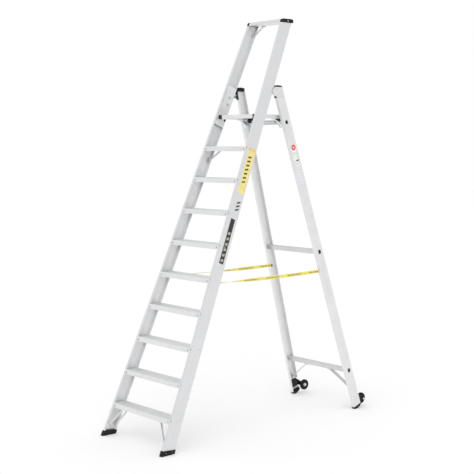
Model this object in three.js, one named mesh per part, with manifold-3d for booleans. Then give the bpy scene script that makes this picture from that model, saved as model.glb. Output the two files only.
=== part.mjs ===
// Folding aluminium platform ladder with nine steps, a standing platform, webbing straps and
// transport wheels on its rear legs.
//
// Ladder frame: X across (right side positive), Y from the climbing side to the rear, Z up.
// The origin is on the floor, half way between the front and rear of the open ladder.
// Millimetres throughout.

import * as THREE from 'three';
import { mergeVertices } from 'three/addons/utils/BufferGeometryUtils.js';
import Module from 'manifold-3d';

const wasm = await Module();
wasm.setup();

// ---------------------------------------------------------------- driving dimensions

const GAP = 0.3; // clearance between pieces that touch
const HALF_DEPTH = 1078.786; // middle of the open ladder, behind the front edge of the stile at the floor

// Steps and platform
const RISE = 240; // vertical pitch of the treads
const STEP_COUNT = 9;
const STEP_FRONT = 10; // nose in front of the stile's front edge
const STEP_BACK = 96; // rear edge behind the stile's front edge
const STEP_SKIRT = 37; // height of the front skirt
const STEP_REAR_SKIRT = 27;
const STEP_WALL = 2.4;
const PLATFORM_Z = RISE * (STEP_COUNT + 1) + 6;
const PLATFORM_FRONT = 1031;
const PLATFORM_REAR = 1352;
const PLATFORM_HALF_FRONT = 208;
const PLATFORM_HALF_REAR = 193;
const PLATFORM_HEIGHT = 31.5;

// Front stiles: C-section, open side inward
const FRONT_LEAN = Math.atan(0.4223); // from the vertical
const FRONT_HALF = 369; // half width over the stiles at the floor
const FRONT_TAPER = 0.0542; // narrowing of each side per unit of height
const STILE_DEPTH = 98;
const STILE_FLANGE = 22;
const STILE_WALL = 2.6;
const STILE_TOP_Z = 3124;

// Rear legs: C-section, open side inward
const REAR_FOOT_Y = 2001; // the leg's front edge line at the floor
const REAR_LEAN = Math.atan(0.3012);
const REAR_HALF = 368;
const REAR_TAPER = 0.0535;
const LEG_DEPTH = 82;
const LEG_FLANGE = 24;
const LEG_WALL = 2.6;
const LEG_TOP_Z = 2618;

// Hinges
const HINGE = new THREE.Vector2(1212.7, 2568.5); // frame hinge, Y and Z
const PLATFORM_HINGE = new THREE.Vector2(1042, 2396);
const HINGE_PIN_R = 5;
const PLATFORM_PIN_R = 5;

// Top rail
const RAIL_DEPTH = 124;
const RAIL_HEIGHT = 29;
const RAIL_FRONT_Y = 1320;
const RAIL_WALL = 2.5;
const RAIL_HALF = 177.5;
const CAP_HALF = 203;

// Rear crossbars: rectangular tube through the legs
const BAR_DEPTH = 28;
const BAR_WALL = 2;
const BARS = [ // offset: centre behind the leg's front edge
  { name: 'low', z: 327, height: 34, offset: 44 },
  { name: 'middle', z: 1318, height: 34, offset: 44 },
  { name: 'upper', z: 2347, height: 30, offset: 36 },
];

// Transport wheels
const AXLE = new THREE.Vector2(2118, 68);
const WHEEL_R = 45;
const WHEEL_IN = 317.5; // inner and outer faces, from the middle plane
const WHEEL_OUT = 341.5;
const HUB_R = 23;
const AXLE_R = 5;

// Straps
const STRAP_Z = 1160;
const STRAP_X = { front: 295, rear: 278.5 };
const STRAP_WIDTH = 25;
const STRAP_THICKNESS = 2;

// ---------------------------------------------------------------- materials

const metal = (color, roughness = 0.42) =>
  new THREE.MeshStandardMaterial({ color, roughness, metalness: 0.85 });
const plastic = (color, roughness = 0.6) =>
  new THREE.MeshStandardMaterial({ color, roughness, metalness: 0 });

const aluminium = metal(0xd3d5d6);
const brightAluminium = metal(0xdfe1e2, 0.35);
const steel = metal(0xc4c7ca, 0.38);
const black = plastic(0x1c1d1f);
const rubber = plastic(0x232426, 0.85);
const hubPlastic = plastic(0xd9dadb, 0.5);
const webbing = plastic(0xe0c437, 0.9);

// ---------------------------------------------------------------- solids

const { Matrix4, Vector3 } = THREE;
const move = (x, y, z) => new Matrix4().makeTranslation(x, y, z);

function toManifold(geometry) {
  const bare = geometry.clone();
  for (const name of Object.keys(bare.attributes)) {
    if (name !== 'position') bare.deleteAttribute(name);
  }
  const merged = mergeVertices(bare, 1e-4);
  const mesh = new wasm.Mesh({
    numProp: 3,
    vertProperties: new Float32Array(merged.attributes.position.array),
    triVerts: new Uint32Array(merged.index.array),
  });
  return new wasm.Manifold(mesh);
}

function toGeometry(manifold) {
  const { vertProperties, triVerts } = manifold.getMesh();
  const geometry = new THREE.BufferGeometry();
  geometry.setAttribute('position', new THREE.BufferAttribute(vertProperties, 3));
  geometry.setIndex(new THREE.BufferAttribute(triVerts, 1));
  return geometry;
}

const join = (first, ...rest) =>
  toGeometry(rest.reduce((sum, part) => sum.add(toManifold(part)), toManifold(first)));
const cut = (first, ...rest) =>
  toGeometry(rest.reduce((sum, part) => sum.subtract(toManifold(part)), toManifold(first)));

const placed = (geometry, matrix) => geometry.clone().applyMatrix4(matrix);

// The same solid on the other side of the middle plane, its faces still pointing out
function mirrored(geometry) {
  const copy = geometry.index ? geometry.toNonIndexed() : geometry.clone();
  const p = copy.attributes.position;
  for (let i = 0; i < p.count; i += 3) {
    const a = new Vector3().fromBufferAttribute(p, i + 1);
    const b = new Vector3().fromBufferAttribute(p, i + 2);
    p.setXYZ(i + 1, b.x, b.y, b.z);
    p.setXYZ(i + 2, a.x, a.y, a.z);
  }
  for (let i = 0; i < p.count; i += 1) p.setX(i, -p.getX(i));
  return mergeVertices(copy.deleteAttribute('normal').deleteAttribute('uv'), 1e-4);
}

function box(x0, x1, y0, y1, z0, z1) {
  const geometry = new THREE.BoxGeometry(x1 - x0, y1 - y0, z1 - z0);
  return geometry.translate((x0 + x1) / 2, (y0 + y1) / 2, (z0 + z1) / 2);
}

// Outline in the plane of two axes, extruded along the third
function extrude(points, from, to, basis, holes = []) {
  const shape = new THREE.Shape(points.map(([u, v]) => new THREE.Vector2(u, v)));
  for (const hole of holes) {
    shape.holes.push(new THREE.Path(hole.map(([u, v]) => new THREE.Vector2(u, v))));
  }
  const geometry = new THREE.ExtrudeGeometry(shape, { depth: to - from, bevelEnabled: false });
  return geometry.translate(0, 0, from).applyMatrix4(basis);
}
const X = new Vector3(1, 0, 0);
const Y = new Vector3(0, 1, 0);
const Z = new Vector3(0, 0, 1);
// points are (y, z), along X
const extrudeX = (points, from, to, holes) =>
  extrude(points, from, to, new Matrix4().makeBasis(Y, Z, X), holes);
// points are (x, z), along Y
const extrudeY = (points, from, to, holes) =>
  extrude(points, -to, -from, new Matrix4().makeBasis(X, Z, Y.clone().negate()), holes);
// points are (x, y), along Z
const extrudeZ = (points, from, to, holes) => extrude(points, from, to, new Matrix4(), holes);

function rodX(radius, x0, x1, y, z, sides = 20) {
  const geometry = new THREE.CylinderGeometry(radius, radius, x1 - x0, sides);
  return geometry.rotateZ(Math.PI / 2).translate((x0 + x1) / 2, y, z);
}

function arc(cx, cy, r, from, to, count) {
  return Array.from({ length: count + 1 }, (_, i) => {
    const a = THREE.MathUtils.degToRad(from + ((to - from) * i) / count);
    return [cx + r * Math.cos(a), cy + r * Math.sin(a)];
  });
}

// Flat bar bent along a line of points in a plane, as an outline of even thickness
function bentOutline(line, thickness) {
  const v = line.map(([a, b]) => new THREE.Vector2(a, b));
  const side = (sign) =>
    v.map((p, i) => {
      const before = i > 0 ? p.clone().sub(v[i - 1]).normalize() : null;
      const after = i < v.length - 1 ? v[i + 1].clone().sub(p).normalize() : null;
      const n1 = new THREE.Vector2(-(before ?? after).y, (before ?? after).x);
      const n2 = new THREE.Vector2(-(after ?? before).y, (after ?? before).x);
      const n = n1.clone().add(n2).normalize();
      const reach = (sign * thickness) / 2 / n.dot(n1);
      return [p.x + n.x * reach, p.y + n.y * reach];
    });
  return [...side(-1), ...side(1).reverse()];
}

// ---------------------------------------------------------------- frames of the two A-frame halves

// Front half: local Y across the stile's depth, local Z up along the stiles
const frontFrame = new Matrix4().makeRotationX(-FRONT_LEAN);
const rearFrame = move(0, REAR_FOOT_Y, 0).multiply(new Matrix4().makeRotationX(REAR_LEAN));
const frontSlope = Math.atan(FRONT_TAPER * Math.cos(FRONT_LEAN));
const rearSlope = Math.atan(REAR_TAPER * Math.cos(REAR_LEAN));

// Side frames: X = 0 on the outer face of the right stile or leg, negative inward
const stileFrame = frontFrame.clone().multiply(move(FRONT_HALF, 0, 0))
  .multiply(new Matrix4().makeRotationY(-frontSlope));
const legFrame = rearFrame.clone().multiply(move(REAR_HALF, 0, 0))
  .multiply(new Matrix4().makeRotationY(-rearSlope));
const stileInverse = stileFrame.clone().invert();
const legInverse = legFrame.clone().invert();

const frontEdge = (z) => z * Math.tan(FRONT_LEAN);
const rearEdge = (z) => REAR_FOOT_Y - z * Math.tan(REAR_LEAN);
const frontHalf = (z) => FRONT_HALF - FRONT_TAPER * z;
const rearHalf = (z) => REAR_HALF - REAR_TAPER * z;

// ---------------------------------------------------------------- scene graph

const ladder = new THREE.Group();
ladder.position.set(0, -HALF_DEPTH, 0);

function add(name, geometry, material, matrix = new Matrix4()) {
  const mesh = new THREE.Mesh(geometry, material);
  mesh.name = name;
  const group = new THREE.Group();
  matrix.decompose(group.position, group.quaternion, group.scale);
  group.add(mesh);
  ladder.add(group);
}

// A right-hand piece and its mirror image; the matrix is the right-hand one
function addPair(name, geometry, material, matrix = new Matrix4()) {
  add(`${name}_right`, geometry, material, matrix);
  const flip = new Matrix4().makeScale(-1, 1, 1);
  add(`${name}_left`, mirrored(geometry), material, flip.clone().multiply(matrix).multiply(flip));
}

// ---------------------------------------------------------------- C-sections

// Open inward (toward -X), with thickened flange tips
function channel(depth, flange, wall, extra = 0) {
  const w = wall + extra;
  const e = extra;
  const tip = 4 + e;
  return [
    [e, -e], [e, depth + e], [-flange - e, depth + e], [-flange - e, depth - tip],
    [-flange + 5, depth - tip], [-flange + 5, depth - w], [-w, depth - w], [-w, w],
    [-flange + 5, w], [-flange + 5, tip], [-flange - e, tip], [-flange - e, -e],
  ];
}

// ---------------------------------------------------------------- front stiles and feet

const FAR = 6000;
const belowZ = (z, inverse) => placed(box(-FAR, FAR, -FAR, FAR, -FAR, z), inverse);
const aboveZ = (z, inverse) => placed(box(-FAR, FAR, -FAR, FAR, z, FAR), inverse);

// A point of the ladder's side view in the right stile's frame, on the plane of the flange tips
const inStile = ({ x: y, y: z }) => {
  const at = new Vector3(frontHalf(z) - STILE_FLANGE, y, z);
  return at.applyMatrix4(stileInverse);
};
const hingeAt = inStile(HINGE);
const EAR = { inner: -7.7, outer: -3.2, half: 14 }; // hinge ear inside the channel

const stile = cut(
  extrudeZ(channel(STILE_DEPTH, STILE_FLANGE, STILE_WALL), -60, 3500),
  belowZ(9, stileInverse),
  aboveZ(STILE_TOP_Z - GAP, stileInverse),
  // slot in the rear flange for the hinge ear
  box(EAR.inner - 0.4, EAR.outer + 0.4, 90, 110, hingeAt.z - EAR.half - 2, hingeAt.z + EAR.half + 2),
);
addPair('front_stile', stile, aluminium, stileFrame);

// Boot: walls round the stile's end, a block inside the channel, flat on the floor
const bootTop = placed(
  box(-FAR, FAR, -FAR, FAR, 0, FAR),
  stileInverse.clone().multiply(move(0, 0, 38)).multiply(new Matrix4().makeRotationX(-0.08)),
);
const frontFoot = cut(
  extrudeZ([[3.2, -5], [4.2, 4], [4.2, 95], [3.2, 104], [-25, 104], [-26, 95], [-26, 4], [-25, -5]],
    -80, 120),
  belowZ(0, stileInverse),
  bootTop,
  cut(extrudeZ(channel(STILE_DEPTH, STILE_FLANGE, STILE_WALL, 0.4), -100, 200),
    belowZ(8.6, stileInverse)),
);
addPair('front_foot', frontFoot, rubber, stileFrame);

// ---------------------------------------------------------------- steps

// Open-bottomed extrusion with a ribbed tread; y from the nose, z = 0 on top of the ribs
function treadProfile(depth, frontSkirt, rearSkirt, wall) {
  const top = [];
  const ribs = Math.floor((depth - 18) / 10);
  const pitch = (depth - 16) / ribs;
  for (let i = 0; i < ribs; i += 1) {
    const y = depth - 8 - i * pitch;
    top.push([y, -1.2], [y - 1, 0], [y - pitch + 4, 0], [y - pitch + 3, -1.2]);
  }
  const t = -1.2 - wall;
  return [
    [0, -3.5], [0, -frontSkirt], [11, -frontSkirt], [11, -frontSkirt + wall],
    [wall, -frontSkirt + wall], [wall, t], [depth * 0.48, t], [depth * 0.48, -16],
    [depth * 0.48 + wall, -16], [depth * 0.48 + wall, t], [depth - wall, t],
    [depth - wall, -rearSkirt + wall], [depth - 9, -rearSkirt + wall], [depth - 9, -rearSkirt],
    [depth, -rearSkirt], [depth, -2.5], [depth - 2.5, 0], [depth - 6, 0], [depth - 7, -1.2],
    ...top, [7, -1.2], [6, 0], [3.5, 0],
  ];
}

// What the stile takes from a step's end, in the right side frame
const stepRelief = [
  box(-STILE_WALL - 0.4, 80, -0.4, STILE_DEPTH + 60, -FAR, FAR),
  box(-STILE_FLANGE - 0.5, 80, -0.4, 4.5, -FAR, FAR),
  box(-STILE_FLANGE - 0.5, 80, STILE_DEPTH - 4.5, STILE_DEPTH + 60, -FAR, FAR),
];

for (let i = 1; i <= STEP_COUNT; i += 1) {
  const z = RISE * i;
  const y = frontEdge(z) - STEP_FRONT;
  const half = frontHalf(z) - 7;
  const outline = treadProfile(STEP_FRONT + STEP_BACK, STEP_SKIRT, STEP_REAR_SKIRT, STEP_WALL);
  const toStep = move(0, -y, -z).multiply(stileFrame);
  const reliefs = stepRelief.map((part) => placed(part, toStep));
  const step = cut(extrudeX(outline, -half, half), ...reliefs, ...reliefs.map(mirrored));
  add(`step_${i}`, step, aluminium, move(0, y, z));
}

// ---------------------------------------------------------------- top rail

// Flat underneath, with a large front radius and a smaller rear one on top
const railOutline = (by) => {
  const [w, h] = [RAIL_DEPTH - by, RAIL_HEIGHT - by];
  const [front, rear, low] = [24 - by, 14 - by, 4 - by];
  return [
    ...arc(w - rear, h - rear, rear, 0, 90, 5), ...arc(by + front, h - front, front, 90, 180, 6),
    ...arc(by + low, by + low, low, 180, 270, 2), ...arc(w - low, by + low, low, 270, 360, 2),
  ];
};
const railMatrix = move(0, RAIL_FRONT_Y, STILE_TOP_Z);
const topRail = extrudeX(railOutline(0), -RAIL_HALF, RAIL_HALF, [railOutline(RAIL_WALL)]);
add('top_rail', topRail, brightAluminium, railMatrix);

// Cap on the stile's end, with a plug into the rail and a screw pocket in its outer face
const screwPocket = (radius) => rodX(radius, CAP_HALF - 3, CAP_HALF + 5, 66, 13, 16);
const railCap = cut(
  join(
    extrudeX(railOutline(0), RAIL_HALF + GAP + 0.2, CAP_HALF - 2),
    extrudeX(railOutline(2), CAP_HALF - 3, CAP_HALF),
    extrudeX(railOutline(3.2), RAIL_HALF - 16, RAIL_HALF + 2),
  ),
  screwPocket(6.5),
);
addPair('rail_cap', railCap, black, railMatrix);

// ---------------------------------------------------------------- stays and struts

// Flat stay in the plane across the ladder: foot tab on the stile's flange, sloping bar, top tab
function stay(line, y0, y1, thickness) {
  return extrudeY(bentOutline(line, thickness), y0, y1);
}

// Inner face of the stile's flange tips, in the front half's frame, at a length s
const tipX = (s) => FRONT_HALF - s * Math.tan(frontSlope) - STILE_FLANGE;

function frontStay(name, sFoot, sTop, run, d, width, under, tab) {
  const t = 4;
  const reach = tipX(sFoot) - GAP - t / 2 - 0.6;
  const line = [
    [tipX(sFoot - tab) - GAP - t / 2 - 0.6, sFoot - tab], [reach, sFoot],
    [reach - run, sTop], [reach - run - 26, sTop],
  ];
  const bar = stay(line, d - width / 2, d + width / 2, t);
  const inverse = frontFrame.clone().invert();
  addPair(name, cut(bar, aboveZ(under - GAP, inverse)), brightAluminium, frontFrame);
}
const frontLocal = (y, z) => new Vector3(0, y, z).applyMatrix4(frontFrame.clone().invert());
function stayUnder(name, y, z, drop, run, width, tab = 30) {
  const top = frontLocal(y, z);
  const lift = (width / 2) * Math.tan(FRONT_LEAN) + 2;
  frontStay(name, top.z - drop, top.z - lift, run, top.y, width, z, tab);
}

const step1Back = frontEdge(RISE) + STEP_BACK;
stayUnder('step_1_front_strut', frontEdge(RISE) - STEP_FRONT + 9, RISE - STEP_SKIRT, 138, 104, 16, 28);
stayUnder('step_1_rear_strut', step1Back - 15, RISE - STEP_REAR_SKIRT, 138, 92, 16);
const step9Z = RISE * STEP_COUNT;
stayUnder('step_9_gusset', frontEdge(step9Z) + STEP_BACK - 15, step9Z - STEP_REAR_SKIRT, 80, 88, 16);
stayUnder('top_gusset', RAIL_FRONT_Y + 98, STILE_TOP_Z, 78, 62, 12, 14);

// ---------------------------------------------------------------- hinge brackets

// Plate on the flange tips, spaced off a smaller one in the channel that carries the hinge ear
const bracketX = -STILE_FLANGE - 1;
const BRACKET_T = 4.5;
const bracketPlate = [[5, 2549], [9, 2545], [89, 2545], [93, 2549], [93, hingeAt.z + 30],
  [86, hingeAt.z + 37], [12, hingeAt.z + 37], [5, hingeAt.z + 30]];
const earPlate = [
  [34, 2712], [80, 2712], [92, hingeAt.z - 28], [92.5, hingeAt.z - EAR.half],
  ...arc(hingeAt.y, hingeAt.z, 9, -80, 80, 8),
  [92.5, hingeAt.z + EAR.half], [92, hingeAt.z + 26], [42, hingeAt.z + 26], [34, hingeAt.z + 18],
];
const spacers = [[54, 2790], [59, 2731]].map(([d, s]) => join(
  rodX(8, bracketX - 1, EAR.inner + 1, d, s, 16),
  rodX(6, bracketX - BRACKET_T - 2.5, bracketX - 1, d, s, 6),
));
const pinInStile = (radius, x0, x1, point, sides) =>
  placed(rodX(radius, x0, x1, point.x, point.y, sides), stileInverse);
const hingeHalf = rearHalf(HINGE.y);
const platformHingeHalf = frontHalf(PLATFORM_HINGE.y) - STILE_FLANGE;
const hingeBracket = join(
  extrudeX(bracketPlate, bracketX - BRACKET_T, bracketX),
  extrudeX(earPlate, EAR.inner, EAR.outer),
  ...spacers,
  pinInStile(HINGE_PIN_R, hingeHalf - 8.3, hingeHalf + 8, HINGE, 20),
  pinInStile(11, hingeHalf + 5.5, hingeHalf + 9, HINGE, 20),
  pinInStile(PLATFORM_PIN_R, platformHingeHalf - 16, platformHingeHalf - 3, PLATFORM_HINGE, 16),
);
addPair('hinge_bracket', hingeBracket, steel, stileFrame);

// ---------------------------------------------------------------- rear legs

const rearInverse = rearFrame.clone().invert();
const barSection = ({ s, offset, height }, grow) => [
  [offset - BAR_DEPTH / 2 - grow, s - height / 2 - grow],
  [offset + BAR_DEPTH / 2 + grow, s - height / 2 - grow],
  [offset + BAR_DEPTH / 2 + grow, s + height / 2 + grow],
  [offset - BAR_DEPTH / 2 - grow, s + height / 2 + grow],
];
const bars = BARS.map((bar) => ({
  ...bar, s: (bar.z - bar.offset * Math.sin(REAR_LEAN)) / Math.cos(REAR_LEAN),
}));
const intoLeg = (part) => placed(part, legInverse.clone().multiply(rearFrame));
const barWindows = bars.map((bar) => intoLeg(extrudeX(barSection(bar, 0.4), 150, 420)));

// Sloping lower end: rises from the front edge to the rear edge
const FOOT_RISE = 0.36;
const footPlane = (lift) => placed(
  box(-FAR, FAR, -FAR, FAR, -FAR, 0),
  legInverse.clone().multiply(move(0, 1996, 13 + lift))
    .multiply(new Matrix4().makeRotationX(Math.atan(FOOT_RISE))),
);
const hingeInLeg = new Vector3(hingeHalf, HINGE.x, HINGE.y).applyMatrix4(legInverse);
const armInLeg = new Vector3(350, AXLE.x, AXLE.y).applyMatrix4(legInverse);

const leg = cut(
  extrudeZ(channel(LEG_DEPTH, LEG_FLANGE, LEG_WALL), -80, 2900),
  footPlane(0),
  aboveZ(LEG_TOP_Z, legInverse),
  ...barWindows,
  // notch in the rear flange for the wheel arm
  box(-30, -LEG_WALL, LEG_DEPTH - 8, LEG_DEPTH + 5, 40, 124),
  // notch at the top of the front flange for the cap's tongue
  box(-30, -LEG_WALL - 0.4, -5, 4.5, 2706, 2900),
);
addPair('rear_leg', leg, aluminium, legFrame);

// ---------------------------------------------------------------- crossbars and plugs

const chamfered = (y, z, halfDepth, halfHeight, c) => [
  [y - halfDepth, z - halfHeight + c], [y - halfDepth + c, z - halfHeight],
  [y + halfDepth - c, z - halfHeight], [y + halfDepth, z - halfHeight + c],
  [y + halfDepth, z + halfHeight - c], [y + halfDepth - c, z + halfHeight],
  [y - halfDepth + c, z + halfHeight], [y - halfDepth, z + halfHeight - c],
];
for (const bar of bars) {
  const half = rearHalf(bar.z) + 1;
  const tube = extrudeX(barSection(bar, 0), -half, half, [barSection(bar, -BAR_WALL)]);
  add(`crossbar_${bar.name}`, tube, aluminium, rearFrame);

  // plug in the tube's end
  const inside = BAR_WALL + GAP;
  const outline = chamfered(bar.offset, bar.s, BAR_DEPTH / 2 - inside, bar.height / 2 - inside, 2);
  addPair(`plug_${bar.name}`, extrudeX(outline, half - 16, half + 0.8), black, rearFrame);
}

// ---------------------------------------------------------------- hinge plates and leg caps

const hingePlate = cut(
  extrudeX([[-25, hingeInLeg.z - 21], [10, 2656], [70, 2641], [74, 2645], [74, 2699], [70, 2705],
    [0, 2728], [-22, 2726], [-30, 2718], [-34, 2704], [-34, 2678], [-31, 2670]], 0.4, 4),
  placed(rodX(HINGE_PIN_R + 0.4, 150, 300, HINGE.x, HINGE.y, 20), legInverse),
);
addPair('hinge_plate', hingePlate, brightAluminium, legFrame);

// Domed cap over the leg's level end, with a buffer tongue down the leg's front face
const capFront = rearEdge(LEG_TOP_Z) + 1;
const capRear = rearEdge(LEG_TOP_Z) + LEG_DEPTH / Math.cos(REAR_LEAN) + 1;
const capZ = LEG_TOP_Z + GAP;
const worldToLeg = (part) => placed(part, legInverse);
const keepX = (part, x0, x1) =>
  cut(part, box(-FAR, x0, -FAR, FAR, -FAR, FAR), box(x1, FAR, -FAR, FAR, -FAR, FAR));
const capDome = extrudeX([[capFront, capZ], [capRear, capZ], [capRear, capZ + 3],
  [capRear - 7, capZ + 8], [capRear - 24, capZ + 12], [capRear - 46, capZ + 13.5],
  [capFront + 22, capZ + 12.5], [capFront + 10, capZ + 9.5], [capFront + 3, capZ + 5]], 150, 320);
const capPlug = extrudeX([[capFront + 10, capZ - 18], [capRear - 7, capZ - 18],
  [capRear - 7, capZ + 4], [capFront + 10, capZ + 4]], 150, 320);
const tongue = join(box(-LEG_FLANGE - 1, -1, -4.3, -GAP, 2650, 2800),
  box(-LEG_FLANGE - 1, -LEG_WALL - 0.8, -1, 4.2, 2706.4, 2800));
const topCap = cut(
  join(
    keepX(worldToLeg(capDome), -LEG_FLANGE - 1, 0.2),
    keepX(worldToLeg(capPlug), -LEG_FLANGE + 5.5, -LEG_WALL - 0.5),
    cut(tongue, aboveZ(capZ + 4, legInverse)),
  ),
  // clear of the stile's rear face
  placed(box(-FAR, FAR, -FAR, STILE_DEPTH + 0.8, -FAR, FAR), legInverse.clone().multiply(frontFrame)),
);
addPair('leg_cap', topCap, black, legFrame);

// ---------------------------------------------------------------- lower braces

const underBar = bars[0].s - bars[0].height / 2 - GAP - 2.5;
const webX = (s) => REAR_HALF - s * Math.tan(rearSlope) - LEG_WALL - 0.8;
const braceLine = [
  [webX(126) - 2.5, 126], [webX(148) - 2.5, 148],
  [140, underBar], [112, underBar],
];
addPair('lower_brace', stay(braceLine, bars[0].offset - 14, bars[0].offset + 14, 4.4),
  brightAluminium, rearFrame);

// ---------------------------------------------------------------- platform rests

// Curved arm from a tab on the leg's front face forward to the platform's side skirt
const restTip = new Vector3(0, 1219, PLATFORM_Z - PLATFORM_HEIGHT - GAP - 3).applyMatrix4(rearInverse);
const REST_Z = 2330;
const restFoot = new Vector3(0, rearEdge(REST_Z), REST_Z).applyMatrix4(rearInverse);
const restCurve = new THREE.QuadraticBezierCurve(
  new THREE.Vector2(-3.2, restFoot.z), new THREE.Vector2(-22, restFoot.z + 44),
  new THREE.Vector2(restTip.y, restTip.z),
);
const restLine = [[-3.2, restFoot.z - 26], ...restCurve.getPoints(7).map((p) => [p.x, p.y])];
const restX = 190;
const rest = join(
  extrudeX(bentOutline(restLine, 5), restX, restX + 17),
  extrudeX([[-5.7, restFoot.z - 26], [-0.7, restFoot.z - 26], [-0.7, restFoot.z + 4],
    [-5.7, restFoot.z + 4]], restX + 5, rearHalf(REST_Z) - 2),
);
addPair('platform_rest', rest, steel, rearFrame);

// ---------------------------------------------------------------- rear feet

// Curved sole under the leg's sloping end, a block up inside the channel
const soleProfile = [
  [1994.5, 13 - FOOT_RISE * 1.5 - 0.4], [1995.5, 5], [2000, 1.6], [2006, 0], [2026, 0],
  [2040, 3.6], [2052, 9], [2062, 15.6], [2071, 24], [2077.5, 33], [2080, 13 + FOOT_RISE * 84 - 0.4],
];
const sole = keepX(worldToLeg(extrudeX(soleProfile, 200, 500)), -LEG_FLANGE - 1.5, 1.5);
const footBlock = cut(
  box(-LEG_FLANGE + 6, -LEG_WALL - 0.5, 5, LEG_DEPTH - 5, -40, 26),
  worldToLeg(extrudeX([[1900, -60], [2200, -60], [2200, 13 + FOOT_RISE * 204 - 2],
    [1900, 13 - FOOT_RISE * 96 - 2]], 200, 500)),
);
addPair('rear_foot', join(sole, footBlock), rubber, legFrame);

// ---------------------------------------------------------------- transport wheels

// Bracket: block in the channel, arm back through the notch to the axle
const armFace = [
  [8, 62], [8, 112], [14, 118], [70, 118], [78, 110],
  ...arc(armInLeg.y, armInLeg.z, 15, 45, -115, 8), [76, 54], [16, 54],
];
const wheelArm = cut(
  join(
    extrudeX([[5, 62], [5, 112], [13, 120], [69, 120], [77, 112], [77, 62], [70, 54], [12, 54]],
      -18, -LEG_WALL - 0.6),
    extrudeX(armFace, -17, -6),
  ),
  placed(rodX(AXLE_R + 0.4, 300, 400, AXLE.x, AXLE.y, 16), legInverse),
);
addPair('wheel_bracket', wheelArm, black, legFrame);

const armOut = new Vector3(-6, armInLeg.y, armInLeg.z).applyMatrix4(legFrame).x;
const axle = join(
  rodX(AXLE_R, WHEEL_IN - 3, armOut + 3, AXLE.x, AXLE.y, 16),
  rodX(8.5, WHEEL_IN - 5, WHEEL_IN - 1.2, AXLE.x, AXLE.y, 16),
  rodX(8.5, armOut + 1.6, armOut + 5, AXLE.x, AXLE.y, 16),
);
addPair('axle', axle, steel);

const lathe = (profile, sides) => {
  const points = profile.map(([r, x]) => new THREE.Vector2(r, x));
  return new THREE.LatheGeometry([...points, points[0]], sides).rotateZ(-Math.PI / 2);
};
const mid = (WHEEL_IN + WHEEL_OUT) / 2;
const half = (WHEEL_OUT - WHEEL_IN) / 2;
const tyre = lathe([[HUB_R + 0.3, -half + 2], [WHEEL_R - 6, -half], [WHEEL_R - 1.5, -half + 3],
  [WHEEL_R, -half + 8], [WHEEL_R, half - 8], [WHEEL_R - 1.5, half - 3], [WHEEL_R - 6, half],
  [HUB_R + 0.3, half - 2]], 32);
const hub = lathe([[AXLE_R + 0.4, -half + 0.5], [10, -half + 0.5], [11, -half + 4], [HUB_R, -half + 5],
  [HUB_R, half - 5], [11, half - 4], [10, half - 0.5], [AXLE_R + 0.4, half - 0.5]], 28);
const wheelMatrix = move(mid, AXLE.x, AXLE.y);
addPair('wheel_tyre', tyre, rubber, wheelMatrix);
addPair('wheel_hub', hub, hubPlastic, wheelMatrix);

// ---------------------------------------------------------------- platform

const deckDepth = PLATFORM_REAR - PLATFORM_FRONT;
const deckWall = 2.6;
const deckOutline = [[-PLATFORM_HALF_FRONT, 0], [PLATFORM_HALF_FRONT, 0],
  [PLATFORM_HALF_REAR, deckDepth], [-PLATFORM_HALF_REAR, deckDepth]];
const deckInside = [[-PLATFORM_HALF_FRONT + 4, 3], [PLATFORM_HALF_FRONT - 4, 3],
  [PLATFORM_HALF_REAR - 4, deckDepth - 3], [-PLATFORM_HALF_REAR + 4, deckDepth - 3]];
const bottom = -PLATFORM_HEIGHT;
const CLIP_ROOM = 14.5;
const ribCount = 24;
const grooves = Array.from({ length: ribCount }, (_, i) => {
  const y = 14 + (i * (deckDepth - 28)) / (ribCount - 1);
  return box(-PLATFORM_HALF_REAR + 8, PLATFORM_HALF_REAR - 8, y - 2.2, y + 2.2, -1.2, 5);
});
const crossRib = (y) => box(-PLATFORM_HALF_REAR + 2, PLATFORM_HALF_REAR - 2, y - 1.5, y + 1.5,
  bottom + 8, -2);
const deckHinge = [PLATFORM_HINGE.x - PLATFORM_FRONT, PLATFORM_HINGE.y - PLATFORM_Z];
const deckShell = cut(extrudeZ(deckOutline, bottom, 0),
  extrudeZ(deckInside, bottom - 5, -1.2 - deckWall), ...grooves,
  // room above the crossbar for the clips
  box(-300, 300, deckDepth - 40, deckDepth + 5, bottom - 5, bottom + CLIP_ROOM));
const deck = cut(
  join(deckShell, crossRib(deckDepth * 0.33), crossRib(deckDepth * 0.66)),
  rodX(PLATFORM_PIN_R + 0.4, -300, 300, ...deckHinge, 16),
);
add('platform_deck', deck, aluminium, move(0, PLATFORM_FRONT, PLATFORM_Z));

// Clip: under the deck's rear, with a lug in front of the crossbar and an end up behind the deck
const barTopZ = 2366;
const roof = PLATFORM_Z + bottom + CLIP_ROOM - GAP;
const clipOutline = [
  [1296, 2354], [1303, 2346], [1310, 2345], [1311.5, 2350], [1311.5, 2362], [1317, barTopZ],
  [1361, barTopZ], [1361, PLATFORM_Z - 7], [1359, PLATFORM_Z - 4], [PLATFORM_REAR + GAP, PLATFORM_Z - 4],
  [PLATFORM_REAR + GAP, roof], [1313, roof], [1302, roof - 6], [1296, roof - 16],
];
addPair('platform_clip', extrudeX(clipOutline, 145, 169), black);

// ---------------------------------------------------------------- straps

const strapFront = frontEdge(STRAP_Z) + STILE_DEPTH / Math.cos(FRONT_LEAN) + 7;
const strapRear = rearEdge(STRAP_Z) + 24;
const strap = extrudeZ([
  [STRAP_X.front - STRAP_THICKNESS / 2, strapFront], [STRAP_X.front + STRAP_THICKNESS / 2, strapFront],
  [STRAP_X.rear + STRAP_THICKNESS / 2, strapRear], [STRAP_X.rear - STRAP_THICKNESS / 2, strapRear],
], STRAP_Z - STRAP_WIDTH / 2, STRAP_Z + STRAP_WIDTH / 2);
addPair('strap', strap, webbing);

export default ladder;
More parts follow.
